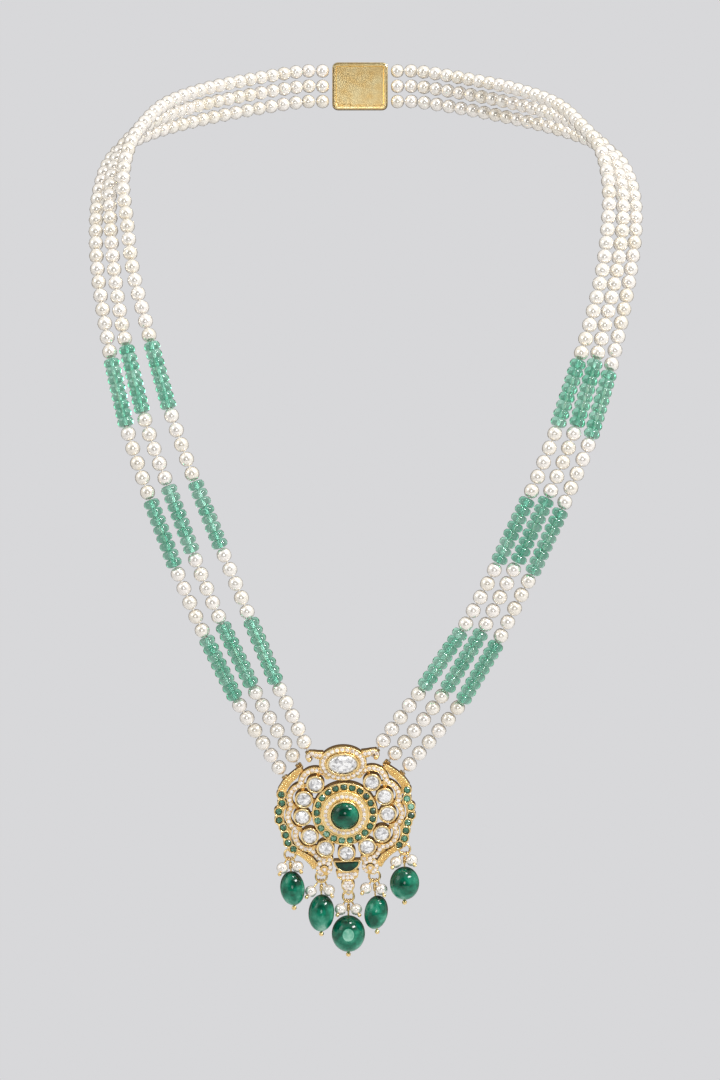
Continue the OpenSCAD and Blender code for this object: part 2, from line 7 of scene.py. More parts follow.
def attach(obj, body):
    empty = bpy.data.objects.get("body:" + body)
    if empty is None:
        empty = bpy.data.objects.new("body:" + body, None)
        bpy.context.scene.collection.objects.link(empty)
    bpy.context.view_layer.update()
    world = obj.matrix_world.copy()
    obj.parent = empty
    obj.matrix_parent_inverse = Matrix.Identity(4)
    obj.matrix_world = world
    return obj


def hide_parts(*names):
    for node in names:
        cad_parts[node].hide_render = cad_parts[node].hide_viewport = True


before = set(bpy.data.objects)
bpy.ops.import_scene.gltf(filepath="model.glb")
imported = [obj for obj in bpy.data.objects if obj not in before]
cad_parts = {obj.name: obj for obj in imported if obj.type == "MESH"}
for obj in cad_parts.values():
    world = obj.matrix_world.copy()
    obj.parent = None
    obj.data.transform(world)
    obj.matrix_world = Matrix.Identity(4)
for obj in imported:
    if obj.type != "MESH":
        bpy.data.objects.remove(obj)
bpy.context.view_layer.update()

# ---- Studio
# The necklace hangs in front of a plain light grey ground, level with the camera. The lens is
# long, so that the strands keep their places from the middle of the view to its corners.
bpy.context.scene.view_settings.view_transform = "Standard"
ground_grey = (0.686, 0.686, 0.701, 1)
camera_place = (0, -1.084, -0.131)
sensor_high = 36
lens_in_pixels = 3760
picture_high_in_pixels = 1080
tent_strength = 0.76
ground_share_through_stone = 0.45
floor_r = 0.85
floor_z = -0.42

bpy.ops.object.select_all(action="DESELECT")
bpy.ops.object.camera_add(location=camera_place, rotation=(math.radians(90), 0, 0))
camera = bpy.context.object
camera.data.sensor_fit = "VERTICAL"
camera.data.sensor_height = sensor_high
camera.data.lens = sensor_high * lens_in_pixels / picture_high_in_pixels
camera.data.clip_start = 0.05
bpy.context.scene.camera = camera


def ramp(nodes, links, source, stops):
    """Colours laid out over a value"""
    colours = nodes.new("ShaderNodeValToRGB")
    while len(colours.color_ramp.elements) < len(stops):
        colours.color_ramp.elements.new(0.5)
    for element, (position, colour) in zip(colours.color_ramp.elements, stops):
        element.position = position
        element.color = (*colour, 1)
    links.new(source, colours.inputs["Fac"])
    return colours.outputs["Color"]


def worked_out(nodes, links, kind, *terms, sort="ShaderNodeMath"):
    """A value worked out from others, each a number or what another node gives"""
    step = nodes.new(sort)
    step.operation = kind
    for socket, term in zip(step.inputs, terms):
        if isinstance(term, bpy.types.NodeSocket):
            links.new(term, socket)
        else:
            socket.default_value = term
    return step.outputs["Value"]


world = bpy.data.worlds.new("studio")
bpy.context.scene.world = world
world.use_nodes = True
nodes, links = world.node_tree.nodes, world.node_tree.links
nodes.clear()
world_out = nodes.new("ShaderNodeOutputWorld")
ways = nodes.new("ShaderNodeMixShader")
seen = nodes.new("ShaderNodeBackground")
seen.inputs["Color"].default_value = ground_grey
light_path = nodes.new("ShaderNodeLightPath")
# What lights the beads is a bright tent, dim behind them and dark in a wide ring round the lens.
# Its shade goes by the direction, from 0 straight behind the necklace to 1 at the lens.
tent = nodes.new("ShaderNodeBackground")
tent.inputs["Strength"].default_value = tent_strength
way_in = nodes.new("ShaderNodeTexCoord")
opening = worked_out(nodes, links, "DOT_PRODUCT", way_in.outputs["Generated"], (0, -0.5, 0),
                     sort="ShaderNodeVectorMath")
from_back = worked_out(nodes, links, "ADD", opening, 0.5)
shade = ramp(nodes, links, from_back, ((0.11, (0.16, 0.135, 0.11)), (0.26, (1.0, 0.97, 0.93)),
                                       (0.85, (1.0, 1.0, 1.0)), (0.89, (0.16, 0.15, 0.14))))
links.new(shade, tent.inputs["Color"])
through = worked_out(nodes, links, "MULTIPLY_ADD", light_path.outputs["Is Transmission Ray"],
                     ground_share_through_stone, light_path.outputs["Is Camera Ray"])
links.new(through, ways.inputs["Fac"])
links.new(tent.outputs["Background"], ways.inputs[1])
links.new(seen.outputs["Background"], ways.inputs[2])
links.new(ways.outputs["Shader"], world_out.inputs["Surface"])


def soft_light(name, at, width, height, watts):
    """A soft lamp that faces the middle of the necklace, round if it is as high as it is wide"""
    middle = Vector((0, -0.06, -0.12))
    bpy.ops.object.light_add(type="AREA", location=at)
    lamp = bpy.context.object
    lamp.name = name
    lamp.data.shape = "ELLIPSE" if width == height else "RECTANGLE"
    lamp.data.size = width
    lamp.data.size_y = height
    lamp.data.energy = watts
    lamp.rotation_euler = (middle - Vector(at)).to_track_quat("-Z", "Y").to_euler()


soft_light("lens_light", (0.0, -1.3, -0.11), 0.34, 0.34, 1.5)
soft_light("right_light", (0.6, -0.6, 0.42), 0.4, 0.16, 6.0)
soft_light("left_light", (-0.8, -0.5, 0.3), 0.5, 0.5, 1.2)
soft_light("top_light", (0.25, -0.42, 0.8), 0.24, 0.24, 3.0)

bpy.ops.object.select_all(action="DESELECT")
bpy.ops.mesh.primitive_circle_add(vertices=96, radius=floor_r, fill_type="NGON", location=(0, 0, floor_z))
floor = bpy.context.object
floor.name = "floor"
floor_paint = bpy.data.materials.new("floor_paint")
floor_paint.use_nodes = True
shader = floor_paint.node_tree.nodes["Principled BSDF"]
shader.inputs["Base Color"].default_value = ground_grey
shader.inputs["Roughness"].default_value = 0.9
floor.data.materials.append(floor_paint)

# ---- Pearl strings
# Round white pearls about 4 mm across, each drilled and strung on one thread, five or six at the
# pendant, five between the green runs, and more from there up over the shoulder.
mm = 0.001
pearl_r = 1.975 * mm
pearl_pitch = 4.05 * mm
rondelle_pitch = 2.35 * mm
lowest_pearls = (5, 6, 6)
run_pearls = 5
run_rondelles = 8
top_pearls = 11
places = ("inner", "middle", "outer")
first_bead = 1.5 * mm
strand_tubes = ((8.85, 16.3), (11.6, 12.8), (15.3, 9.6))
tube_level = -0.3
clasp_wide, clasp_thick, clasp_high = 16, 4, 13.5
strand_step_at_clasp = 4.4
random.seed(11)

# Routes of the strands, in millimetres, from the pendant up. A row is one level: x of the inner,
# middle and outer strand, then y of the inner strand and the step to the next one out, then z of
# the inner strand and the step to the next one out. Each starts from a tube on the pendant.
levels = {
    "left": (
        (-18.5, -25.0, -31.0, -92.0, 0.3, -176.0, 0.0),
        (-24.5, -31.5, -37.5, -96.0, 0.3, -163.0, 0.0),
        (-29.5, -37.5, -43.5, -99.0, 0.3, -150.0, 0.0),
        (-35.5, -43.5, -49.5, -101.5, 0.5, -135.0, 0.0),
        (-41.5, -49.0, -55.0, -102.5, 0.5, -120.0, 0.0),
        (-47.0, -54.5, -60.0, -102.5, 0.5, -105.0, 0.0),
        (-52.0, -59.0, -64.0, -99.5, 0.5, -90.0, 0.0),
        (-56.0, -62.5, -67.0, -95.5, 0.7, -75.0, 0.0),
        (-60.0, -65.0, -69.5, -90.0, 1.0, -60.0, 0.0),
        (-62.0, -66.5, -70.5, -84.0, 2.0, -46.0, -0.3),
        (-63.5, -67.0, -70.2, -76.5, 3.3, -34.5, -0.9),
        (-62.5, -65.5, -68.2, -66.0, 3.8, -24.5, -1.6),
        (-59.5, -62.0, -64.0, -55.5, 3.7, -17.5, -2.2),
        (-54.0, -55.5, -57.0, -41.0, 2.6, -10.0, -3.6),
        (-44.0, -45.0, -46.0, -25.0, 1.2, -4.0, -4.3),
        (-31.0, -31.5, -32.0, -11.0, 0.4, 0.5, -4.4),
        (-17.0, -17.0, -17.0, -0.6, 0.0, 4.0, -4.4)),
    "right": (
        (12.0, 18.7, 25.2, -92.0, 0.3, -176.0, 0.0),
        (21.7, 27.6, 33.4, -96.0, 0.3, -163.0, 0.0),
        (29.4, 34.6, 40.0, -99.0, 0.5, -150.0, 0.0),
        (37.0, 42.0, 47.3, -101.5, 0.5, -135.0, 0.0),
        (44.0, 49.0, 54.0, -102.5, 0.6, -120.0, 0.0),
        (50.2, 55.2, 60.1, -102.0, 0.8, -105.0, 0.0),
        (55.4, 60.1, 64.7, -99.7, 1.3, -90.0, 0.0),
        (60.2, 64.3, 68.6, -95.7, 1.8, -75.0, 0.0),
        (64.0, 67.9, 71.8, -90.2, 2.2, -60.0, 0.0),
        (66.0, 70.0, 73.7, -84.0, 2.5, -46.0, -0.3),
        (66.5, 70.2, 73.5, -76.5, 3.3, -34.5, -0.9),
        (64.8, 68.0, 70.9, -66.0, 3.8, -24.5, -1.6),
        (60.5, 63.2, 65.5, -55.5, 3.7, -17.5, -2.2),
        (54.5, 56.2, 57.8, -41.0, 2.6, -10.0, -3.6),
        (44.0, 45.0, 46.0, -25.0, 1.2, -4.0, -4.3),
        (31.0, 31.5, 32.0, -11.0, 0.4, 0.5, -4.4),
        (17.0, 17.0, 17.0, -0.6, 0.0, 4.0, -4.4))}

# The pendant's own plane stands in the necklace's frame leaning forward and turned a little
pendant_middle = Vector((-4, -84, -203)) * mm
pendant_lean = math.radians(105)
pendant_turn = math.radians(2.25)
pendant_place = (Matrix.Translation(pendant_middle) @ Matrix.Rotation(pendant_lean, 4, "X")
                 @ Matrix.Rotation(pendant_turn, 4, "Z"))


def on_pendant(p, q, w):
    """The place of a point given across, up and out from the pendant's middle"""
    return pendant_place @ (Vector((p, q, w)) * mm)


def smooth_line(stops, steps):
    """Points of a smooth curve through all the stops"""
    ends = [2 * stops[0] - stops[1]] + stops + [2 * stops[-1] - stops[-2]]
    line = []
    for i in range(len(stops) - 1):
        p0, p1, p2, p3 = ends[i:i + 4]
        for step in range(steps):
            t = step / steps
            line.append(p1 + (p2 - p0) * t / 2 + (2 * p0 - 5 * p1 + 4 * p2 - p3) * t * t / 2
                        + (3 * p1 - p0 - 3 * p2 + p3) * t * t * t / 2)
    return line + [stops[-1]]


def with_lengths(line):
    """The points of a line, each with its length from the start"""
    far = [0.0]
    for a, b in zip(line, line[1:]):
        far.append(far[-1] + (b - a).length)
    return list(zip(far, line))


def strand_line(side, k):
    """Close points along one strand, each with its length from the pendant"""
    sign = -1 if side == "left" else 1
    stops = [on_pendant(sign * strand_tubes[k][0], strand_tubes[k][1], tube_level)]
    for *across, y, y_step, z, z_step in levels[side]:
        stops.append(Vector((across[k], y + k * y_step, z + k * z_step)) * mm)
    stops.append(Vector((sign * clasp_wide / 2, clasp_thick / 2, (1 - k) * strand_step_at_clasp)) * mm)
    return with_lengths(smooth_line(stops, 6))


def point_on(line, s):
    """The point at a length along a line"""
    for (s0, a), (s1, b) in zip(line, line[1:]):
        if s <= s1:
            return a.lerp(b, (s - s0) / (s1 - s0))
    return line[-1][1]


def along(start, way):
    """Place at a point, with Z turned to lie along the way"""
    return Matrix.Translation(start) @ way.to_track_quat("Z", "Y").to_matrix().to_4x4()


def seat_on(line, s):
    """Place of a bead on a line, with its hole along the line"""
    near = 0.4 * mm
    return along(point_on(line, s), point_on(line, s + near) - point_on(line, s - near))


def run_starts(k):
    """Lengths at which the runs of a strand start: pearls, rondelles, pearls and so on"""
    starts = [first_bead]
    for count, pitch in ((lowest_pearls[k], pearl_pitch), (run_rondelles, rondelle_pitch),
                         (run_pearls, pearl_pitch), (run_rondelles, rondelle_pitch),
                         (run_pearls, pearl_pitch), (run_rondelles, rondelle_pitch),
                         (top_pearls, pearl_pitch)):
        starts.append(starts[-1] + count * pitch)
    return starts


def only(thing):
    """Selects one object and nothing else"""
    bpy.ops.object.select_all(action="DESELECT")
    thing.select_set(True)
    bpy.context.view_layer.objects.active = thing


def pick(thing, kind, test):
    """Opens a mesh in edit mode with the points, edges or faces that pass a test selected"""
    only(thing)
    bpy.context.tool_settings.mesh_select_mode = (kind == "VERT", kind == "EDGE", kind == "FACE")
    data = thing.data
    for group in (data.vertices, data.edges, data.polygons):
        group.foreach_set("select", [False] * len(group))
    for item in {"VERT": data.vertices, "EDGE": data.edges, "FACE": data.polygons}[kind]:
        item.select = test(item)
    bpy.ops.object.mode_set(mode="EDIT")


def done_editing():
    """Closes the mesh that is open in edit mode"""
    bpy.ops.object.mode_set(mode="OBJECT")


def join(parts, name):
    """Makes one piece of several, with its place in its mesh"""
    bpy.ops.object.select_all(action="DESELECT")
    for part in parts:
        part.select_set(True)
    bpy.context.view_layer.objects.active = parts[0]
    if len(parts) > 1:
        bpy.ops.object.join()
    bpy.ops.object.transform_apply(location=True, rotation=True, scale=True)
    piece = bpy.context.object
    piece.name = name
    piece.data.name = name
    return piece


def set_tone(thing, low, high, by_face=False):
    """Gives a bead or stone its own shade, or each of its faces one"""
    tone = thing.data.attributes.get("tone") or thing.data.attributes.new("tone", "FLOAT", "FACE")
    whole = random.uniform(low, high)
    shades = [random.uniform(low, high) if by_face else whole for face in thing.data.polygons]
    tone.data.foreach_set("value", shades)


def copies(model, seats, low=0.0, high=1.0, by_face=False):
    """Copies of a model at their seats, each with its own mesh and shade"""
    made = []
    for seat in seats:
        twin = model.copy()
        twin.data = model.data.copy()
        twin.matrix_world = seat
        set_tone(twin, low, high, by_face)
        bpy.context.collection.objects.link(twin)
        made.append(twin)
    return made


def finish_piece(piece, slot, paint, *replaced):
    """Gives a piece its material and body, and takes its CAD nodes out of sight. The slot is not used."""
    piece.data.materials.clear()
    piece.data.materials.append(paint)
    if replaced:
        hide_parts(*replaced)
    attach(piece, "root")


def new_paint(name):
    """A material, with its shader, nodes and links"""
    paint = bpy.data.materials.new(name)
    paint.use_nodes = True
    return paint, paint.node_tree.nodes["Principled BSDF"], paint.node_tree.nodes, paint.node_tree.links


def noise(nodes, links, scale, detail=2.0):
    """Soft noise on the object's own coordinates, which are in metres"""
    at = nodes.new("ShaderNodeTexCoord")
    cloud = nodes.new("ShaderNodeTexNoise")
    cloud.inputs["Scale"].default_value = scale
    cloud.inputs["Detail"].default_value = detail
    links.new(at.outputs["Object"], cloud.inputs["Vector"])
    return cloud.outputs["Fac"]


def attribute(nodes, name):
    """A value that the mesh carries"""
    reader = nodes.new("ShaderNodeAttribute")
    reader.attribute_name = name
    return reader.outputs["Fac"]


def times(nodes, links, a, b):
    """Two colours multiplied"""
    both = nodes.new("ShaderNodeMix")
    both.data_type = "RGBA"
    both.blend_type = "MULTIPLY"
    both.inputs["Factor"].default_value = 1.0
    links.new(a, both.inputs["A"])
    links.new(b, both.inputs["B"])
    return both.outputs["Result"]


pearl_paint, shader, nodes, links = new_paint("pearl")
tone = ramp(nodes, links, attribute(nodes, "tone"),
            ((0.0, (0.94, 0.88, 0.77)), (0.5, (0.97, 0.93, 0.86)), (1.0, (0.98, 0.93, 0.87))))
links.new(tone, shader.inputs["Base Color"])
shader.inputs["Metallic"].default_value = 0.55
shader.inputs["Roughness"].default_value = 0.22
shader.inputs["Coat Weight"].default_value = 0.7
shader.inputs["Coat Roughness"].default_value = 0.05
shader.inputs["Coat IOR"].default_value = 1.6

mouth_in = 0.94


def model_pearl(radius, name):
    """A ball with the mouths of its drilled hole drawn in at both ends"""
    bpy.ops.object.select_all(action="DESELECT")
    bpy.ops.mesh.primitive_cube_add(size=2 * radius / math.sqrt(3))
    ball = bpy.context.object
    ball.name = name
    pick(ball, "FACE", lambda face: True)
    bpy.ops.mesh.subdivide(number_cuts=3)
    bpy.ops.transform.tosphere(value=1)
    done_editing()
    size = radius / ball.data.vertices[0].co.length
    pick(ball, "FACE", lambda face: True)
    bpy.ops.transform.resize(value=(size, size, size))
    done_editing()
    pick(ball, "VERT", lambda v: abs(v.co.z) > radius * 0.99)
    bpy.ops.transform.resize(value=(1, 1, mouth_in))
    done_editing()
    bpy.ops.object.shade_smooth()
    return ball


pearl_model = model_pearl(pearl_r, "pearl_model")
strands = {}
for side in ("left", "right"):
    for k, place in enumerate(places):
        line = strand_line(side, k)
        starts = run_starts(k)
        strands[side, k] = line, starts
        seats = []
        for run, count in ((0, lowest_pearls[k]), (2, run_pearls), (4, run_pearls), (6, top_pearls)):
            seats += [seat_on(line, starts[run] + (n + 0.5) * pearl_pitch) for n in range(count)]
        string = join(copies(pearl_model, seats), f"pearl_string_{side}_{place}")
        finish_piece(string, "pearl", pearl_paint, f"pearls_{side}_{place}")

# ---- Strands behind the neck
# The same round white pearls go on round the back of the neck, on the same silk threads. The three
# strands of a side draw together there, one above the other, and each thread ends at the clasp.
thread_paint, shader, nodes, links = new_paint("silk_thread")
tone = ramp(nodes, links, noise(nodes, links, 900),
            ((0.35, (0.78, 0.75, 0.68)), (0.65, (0.90, 0.88, 0.82))))
links.new(tone, shader.inputs["Base Color"])
shader.inputs["Roughness"].default_value = 0.7
shader.inputs["Sheen Weight"].default_value = 0.4


def wire(points, radius, sides=6, closed=False):
    """A round wire bent along points, with closed ends"""
    curve = bpy.data.curves.new("wire", "CURVE")
    curve.dimensions = "3D"
    spline = curve.splines.new("POLY")
    spline.points.add(len(points) - 1)
    for stop, place in zip(spline.points, points):
        stop.co = (*place, 1)
    spline.use_cyclic_u = closed
    curve.bevel_depth = radius
    curve.bevel_resolution = (sides - 4) // 2
    curve.use_fill_caps = True
    bent = bpy.data.objects.new("wire", curve)
    bpy.context.collection.objects.link(bent)
    only(bent)
    bpy.ops.object.convert(target="MESH")
    bpy.ops.object.shade_smooth()
    return bpy.context.object


thread_r = 0.25 * mm
thread_lap = 0.3 * mm
clasp_gap = 0.8 * mm
thread_steps = 26
for side in ("left", "right"):
    seats, threads = [], []
    for k in range(3):
        line, starts = strands[side, k]
        first, end = starts[-1], line[-1][0] - clasp_gap
        count = int((end - first) / pearl_pitch)
        pitch = (end - first) / count
        seats += [seat_on(line, first + (n + 0.5) * pitch) for n in range(count)]
        run = [first - thread_lap + (end - first) * i / thread_steps for i in range(thread_steps + 1)]
        threads.append(wire([point_on(line, s) for s in run], thread_r))
    string = join(copies(pearl_model, seats), f"nape_pearls_{side}")
    finish_piece(string, "pearl", pearl_paint, f"nape_strands_{side}")
    finish_piece(join(threads, f"nape_threads_{side}"), "thread", thread_paint)
bpy.data.objects.remove(pearl_model)

# The threads through the rest of the beads are the part's own
for side in ("left", "right"):
    for place in places:
        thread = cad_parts[f"thread_{side}_{place}"]
        thread.data.materials.clear()
        thread.data.materials.append(thread_paint)

# ---- Green rondelles
# Smooth rounded discs of translucent mint green stone, drilled and strung eight to a run, each
# about half as thick as it is wide. The drill leaves the wall of the hole white and rough.
mint_paint, shader, nodes, links = new_paint("mint_stone")
hole_share, stone_share = 0.25, 0.35
# Painted shade: the tint is deepest on the rounded shoulders, three quarters of the way out, where
# neighbouring discs meet, and fades to none at the outer edge
clear = ramp(nodes, links, attribute(nodes, "rim"),
             ((hole_share, (1.0, 1.0, 1.0)), (stone_share, (0.92, 1.0, 0.97)),
              (0.75, (0.80, 0.94, 0.89)), (1.0, (1.0, 1.0, 1.0))))
cloud = ramp(nodes, links, noise(nodes, links, 500, 3),
             ((0.35, (0.74, 0.90, 0.84)), (0.6, (1.0, 1.0, 1.0))))
own = ramp(nodes, links, attribute(nodes, "tone"), ((0.0, (0.62, 0.86, 0.80)), (1.0, (1.0, 1.0, 1.0))))
links.new(times(nodes, links, times(nodes, links, clear, cloud), own), shader.inputs["Base Color"])
clarity = ramp(nodes, links, attribute(nodes, "rim"),
               ((hole_share, (0.0, 0.0, 0.0)), (stone_share, (1.0, 1.0, 1.0))))
links.new(clarity, shader.inputs["Transmission Weight"])
shader.inputs["Roughness"].default_value = 0.02
shader.inputs["IOR"].default_value = 1.57
depth = nodes.new("ShaderNodeVolumeAbsorption")
depth.inputs["Color"].default_value = (0.14, 0.96, 0.66, 1)
depth.inputs["Density"].default_value = 170
links.new(depth.outputs["Volume"], nodes["Material Output"].inputs["Volume"])

rondelle_r = 2.15 * mm
rondelle_t = 2.25 * mm
rondelle_round = 0.9 * mm
rondelle_face = 0.8 * mm
bpy.ops.object.select_all(action="DESELECT")
bpy.ops.mesh.primitive_cylinder_add(vertices=12, radius=rondelle_r, depth=rondelle_t)
rondelle_model = bpy.context.object
pick(rondelle_model, "FACE", lambda face: abs(face.normal.z) > 0.9)
bpy.ops.mesh.bevel(offset=rondelle_round, segments=2, affect="EDGES")
done_editing()
pick(rondelle_model, "FACE", lambda face: abs(face.normal.z) > 0.99 and len(face.vertices) > 4)
bpy.ops.mesh.inset(thickness=rondelle_face, use_individual=True)
bpy.ops.mesh.bridge_edge_loops()
done_editing()
bpy.ops.object.shade_smooth()
reach = rondelle_model.data.attributes.new("rim", "FLOAT", "POINT")
for v in rondelle_model.data.vertices:
    reach.data[v.index].value = v.co.xy.length / rondelle_r

for side in ("left", "right"):
    for k, place in enumerate(places):
        line, starts = strands[side, k]
        seats = []
        for run in (1, 3, 5):
            low, high = point_on(line, starts[run]), point_on(line, starts[run + 1])
            for n in range(run_rondelles):
                seats.append(along(low.lerp(high, (n + 0.5) / run_rondelles), high - low))
        string = join(copies(rondelle_model, seats), f"rondelle_string_{side}_{place}")
        finish_piece(string, "mint_stone", mint_paint, f"rondelles_{side}_{place}")
bpy.data.objects.remove(rondelle_model)

# ---- Clasp
# A plain gold plate clasp with rounded corners and a raised border. It is hidden behind the neck
# in the photo, so that only its place is sure.
gold_paint, shader, nodes, links = new_paint("yellow_gold")
tone = ramp(nodes, links, noise(nodes, links, 420, 3),
            ((0.3, (0.94, 0.65, 0.26)), (0.7, (1.0, 0.83, 0.45))))
links.new(tone, shader.inputs["Base Color"])
shader.inputs["Metallic"].default_value = 1
shader.inputs["Roughness"].default_value = 0.22

corner_round = 1.6 * mm
edge_round = 0.4 * mm
border_steps = ((0.15, 0), (0.5, 0), (0.2, -0.4), (0.1, 0))
bpy.ops.object.select_all(action="DESELECT")
bpy.ops.mesh.primitive_cube_add(size=1, location=(0, clasp_thick / 2 * mm, 0))
clasp = bpy.context.object
clasp.scale = Vector((clasp_wide, clasp_thick, clasp_high)) * mm
bpy.ops.object.transform_apply(location=True, rotation=True, scale=True)
corners = clasp.data.vertices
pick(clasp, "EDGE", lambda e: abs(corners[e.vertices[0]].co.y - corners[e.vertices[1]].co.y) > 3 * mm)
bpy.ops.mesh.bevel(offset=corner_round, segments=4, affect="EDGES")
done_editing()
pick(clasp, "FACE", lambda face: abs(face.normal.y) > 0.9)
bpy.ops.mesh.bevel(offset=edge_round, segments=2, affect="EDGES")
done_editing()
pick(clasp, "FACE", lambda face: abs(face.normal.y) > 0.99 and len(face.vertices) > 4)
for width, height in border_steps:
    bpy.ops.mesh.inset(thickness=width * mm, depth=height * mm, use_individual=True)
done_editing()
bpy.ops.object.shade_smooth_by_angle(angle=math.radians(35))
finish_piece(join([clasp], "clasp_plate"), "gold", gold_paint, "clasp")

# ---- Pendant frame
# Openwork of yellow gold: its edges are rounded and lifted a little, its bands are set with small
# white stones, and the outer bands carry rows of gold grains.

# Heights over the pendant's own plane and places on it are in millimetres. The round stones stand
# at a turn and a distance from its middle: five on the right, mirrored on the left, and one below.
polki_places = [(48.6, 11.35), (22.6, 11.6), (-2.5, 11.35), (-31.9, 11.3), (-59.7, 11.0), (-90.0, 11.05)]
polki_at = [Vector((far * math.cos(math.radians(turn)), far * math.sin(math.radians(turn))))
            for turn, far in polki_places]
melee_column = [(16.7, 5.8), (16.6, 3.35), (17.55, 1.05), (17.55, -1.35),
                (16.55, -3.4), (16.0, -5.6), (15.5, -7.8), (14.1, -9.6)]
top_band = [(11.0, 13.2), (12.1, 12.8), (14.1, 11.3), (16.1, 9.5), (17.5, 7.3), (17.6, 5.9),
            (15.4, 5.6), (14.9, 7.2), (13.6, 9.0), (12.0, 10.4), (10.9, 11.8)]
foot_band = [(15.1, -9.6), (13.9, -11.0), (12.4, -11.9), (11.3, -12.8), (10.1, -14.1), (9.2, -15.6),
             (7.6, -15.2), (8.0, -13.6), (9.2, -12.0), (10.8, -11.0), (12.6, -9.4)]
top_band_middle = [(11.6, 12.3), (13.0, 11.3), (14.6, 10.0), (15.9, 8.3), (16.4, 7.3)]
foot_band_middle = [(13.4, -10.5), (12.0, -11.3), (10.7, -12.3), (9.5, -13.5), (8.7, -14.7)]
band_top = 2.0
outer_top = 1.7
outer_grain_top = 1.72
column_top = 1.9
head_top = 2.5
foot_top = 1.8
polki_rim_top = 2.72
polki_rim_r = 2.2
halo_top = 3.3
scallop_out = (4.42,) * 4 + (3.82,)
scallop_middle = (3.8,) * 4 + (3.4,)
scallop_in = (3.17,) * 4 + (2.97,)
ring_clear, top_lobe_ease = 11.9, 0.6
crescent_side, crescent_above = 5.3, -6
pave_step = 1.22
grain_step = 0.78
column_seat_r = 1.13
melee_ring_count = 21
gold_parts = []
grain_seats = []
pave_seats = []


def flat(points):
    """Points of the pendant's plane"""
    return [Vector(point) for point in points]


def ring_line(radius, at=(0, 0), start=0.0, end=360.0, squash=1.0, count=40):
    """Points of an arc in the pendant's plane, a whole ring without its last point"""
    last = count if end - start < 360 else count - 1
    turns = [math.radians(start + (end - start) * i / count) for i in range(last + 1)]
    return [Vector((at[0] + radius * math.cos(t), at[1] + radius * squash * math.sin(t))) for t in turns]


def mirrored(points):
    """The same line on the other side of the pendant"""
    return [Vector((-point.x, point.y)) for point in points]


def edge_wire(points, w, radius, closed=False, both=True, sides=6):
    """Rounds off an edge of the openwork with a wire, on the right side and on the left"""
    for line in ([points, mirrored(points)] if both else [points]):
        gold_parts.append(wire([on_pendant(p.x, p.y, w) for p in line], radius * mm, sides, closed))


def spaced(points, step):
    """Evenly spaced points along a line, the first and last half a step from its ends"""
    line = with_lengths(points)
    count = max(1, round(line[-1][0] / step))
    return [point_on(line, line[-1][0] * (i + 0.5) / count) for i in range(count)]


def beside(points, shift):
    """The line moved to its left by the shift"""
    moved = []
    for i, point in enumerate(points):
        way = (points[min(i + 1, len(points) - 1)] - points[max(i - 1, 0)]).normalized()
        moved.append(point + Vector((-way.y, way.x)) * shift)
    return moved


def inset_line(points, shift):
    """A closed outline drawn in to its own middle by the shift"""
    moved = []
    for i, point in enumerate(points):
        way = (points[(i + 1) % len(points)] - points[i - 1]).normalized()
        moved.append(point + Vector((-way.y, way.x)) * shift)
    return moved


def set_on(seats, points, w, both=True):
    """Puts down seats at the points, and at their mirror images"""
    for point in points:
        seats.append((point.x, point.y, w))
        if both:
            seats.append((-point.x, point.y, w))


def lobe_arc(n, radii, start, end):
    """The part of a scallop's circle that shows outside its neighbours, the ring and the crescent"""
    line = []
    for point in ring_line(radii[n], polki_at[n], start, end, count=72):
        clear = all((point - polki_at[m]).length > radii[m] for m in range(5) if m != n)
        clear = clear and point.length > ring_clear - (n == 0) * top_lobe_ease
        if clear and not (point.x < crescent_side and point.y < crescent_above):
            line.append(point)
    return line


def seat(p, q, w, turn=0.0):
    """Place of a stone or grain on the pendant"""
    return pendant_place @ Matrix.Translation(Vector((p, q, w)) * mm) @ Matrix.Rotation(turn, 4, "Z")


# The scalloped bands, with their two edges and the row of stones between them
for n in range(5):
    start, end = (-120.0, 150.0) if n == 0 else (-160.0 + polki_places[n][0], 160.0 + polki_places[n][0])
    for radii, thick in ((scallop_out, 0.19), (scallop_in, 0.17)):
        arc = lobe_arc(n, radii, start, end)
        if len(arc) > 2:
            edge_wire(arc, band_top, thick)
    arc = lobe_arc(n, scallop_middle, start, end)
    set_on(pave_seats, spaced(arc, pave_step), band_top)

# Bezels of the round stones, and the ring, halo and cup round the cabochon
for n, at in enumerate(polki_at):
    edge_wire(ring_line(polki_rim_r, at), polki_rim_top, 0.24, True, n < 5, sides=8)
for radius, w, thick in ((8.5, 2.6, 0.27), (6.22, 3.25, 0.22), (3.9, 4.22, 0.26)):
    edge_wire(ring_line(radius, count=72), w, thick, True, False, sides=8)
set_on(pave_seats, ring_line(5.08, count=26), halo_top, False)
for i in range(melee_ring_count):
    for radius in (6.85, 8.1):
        at = ring_line(radius, start=98.6 + 360 * i / melee_ring_count, end=100, count=1)[0]
        grain_seats.append((*at, 2.66))

# The oval head
head_at = (0, 14.0)
edge_wire(ring_line(6.08, head_at, squash=0.735, count=64), head_top, 0.24, True, False, sides=8)
edge_wire(ring_line(4.5, head_at, squash=0.722, count=64), 2.55, 0.14, True, False)
edge_wire(ring_line(4.1, head_at, squash=0.7, count=64), 3.2, 0.24, True, False, sides=8)
set_on(pave_seats, ring_line(5.28, head_at, squash=0.735, count=24), head_top, False)

